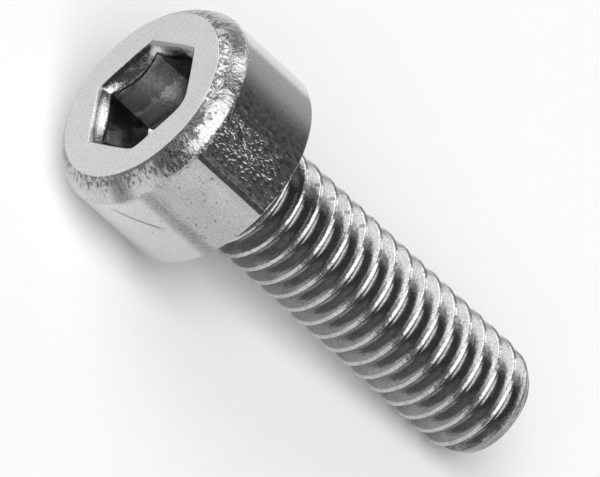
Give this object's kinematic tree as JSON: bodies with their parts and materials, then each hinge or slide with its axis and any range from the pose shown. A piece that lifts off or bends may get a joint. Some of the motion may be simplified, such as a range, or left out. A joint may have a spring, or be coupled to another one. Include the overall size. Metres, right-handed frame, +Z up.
{
  "type": "hexagon socket head cap screw",
  "caption": "Small steel cap screw with a round head, a hexagon key socket with a widened mouth, and a coarse right-hand thread along the whole shank, lying at rest.",
  "frame": {"origin": "on the resting plane, below the middle of the lying screw's box", "axes": "+X towards the head, along the floor under the screw's axis; +Z up from the resting plane. The screw's own axis lies in the XZ plane and rises towards the head by 7.23 degrees."},
  "size_m": [0.0108, 0.0044, 0.0046],
  "materials": {
    "steel": "bright, lightly drawn on the head's side, rough on the bevelled band"
  },
  "bodies": {
    "root": {"cap_screw": "steel"}
  },
  "joints": []
}
